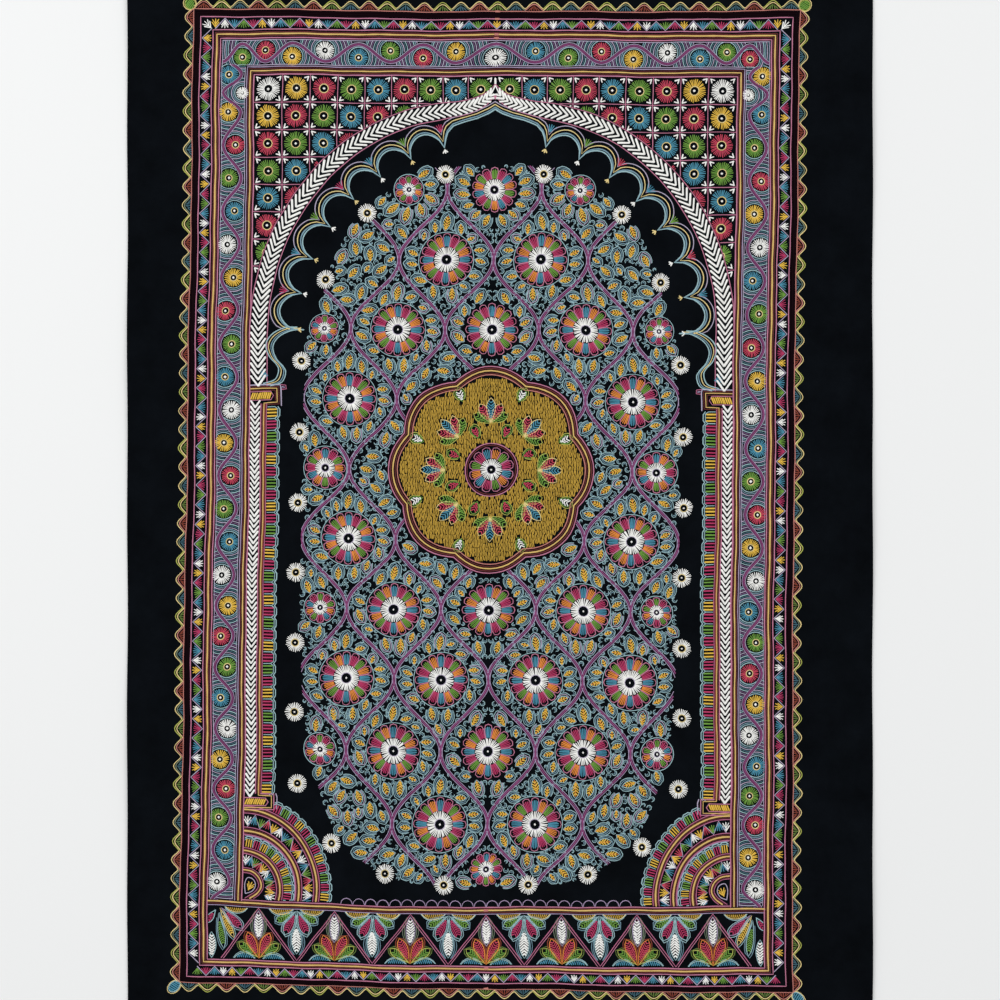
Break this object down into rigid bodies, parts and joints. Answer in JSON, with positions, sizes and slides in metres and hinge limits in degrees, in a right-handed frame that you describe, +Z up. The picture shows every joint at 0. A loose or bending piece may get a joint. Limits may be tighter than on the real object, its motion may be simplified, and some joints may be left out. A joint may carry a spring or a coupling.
{
  "type": "rogan painted textile",
  "caption": "Black cotton hanging painted in raised lines: scalloped and scrolled borders round a cusped arch on columns, over a lotus band, laid flat.",
  "frame": {"origin": "middle of the cloth's underside, on the surface it lies on", "axes": "+X to the right across the width, +Y towards the crown of the painted arch, +Z up out of the painted face"},
  "size_m": [0.708, 1.056, 0.0049],
  "materials": {
    "black_cotton": "matt plain weave"
  },
  "bodies": {
    "root": {"painted_cloth": "black_cotton"}
  },
  "joints": []
}
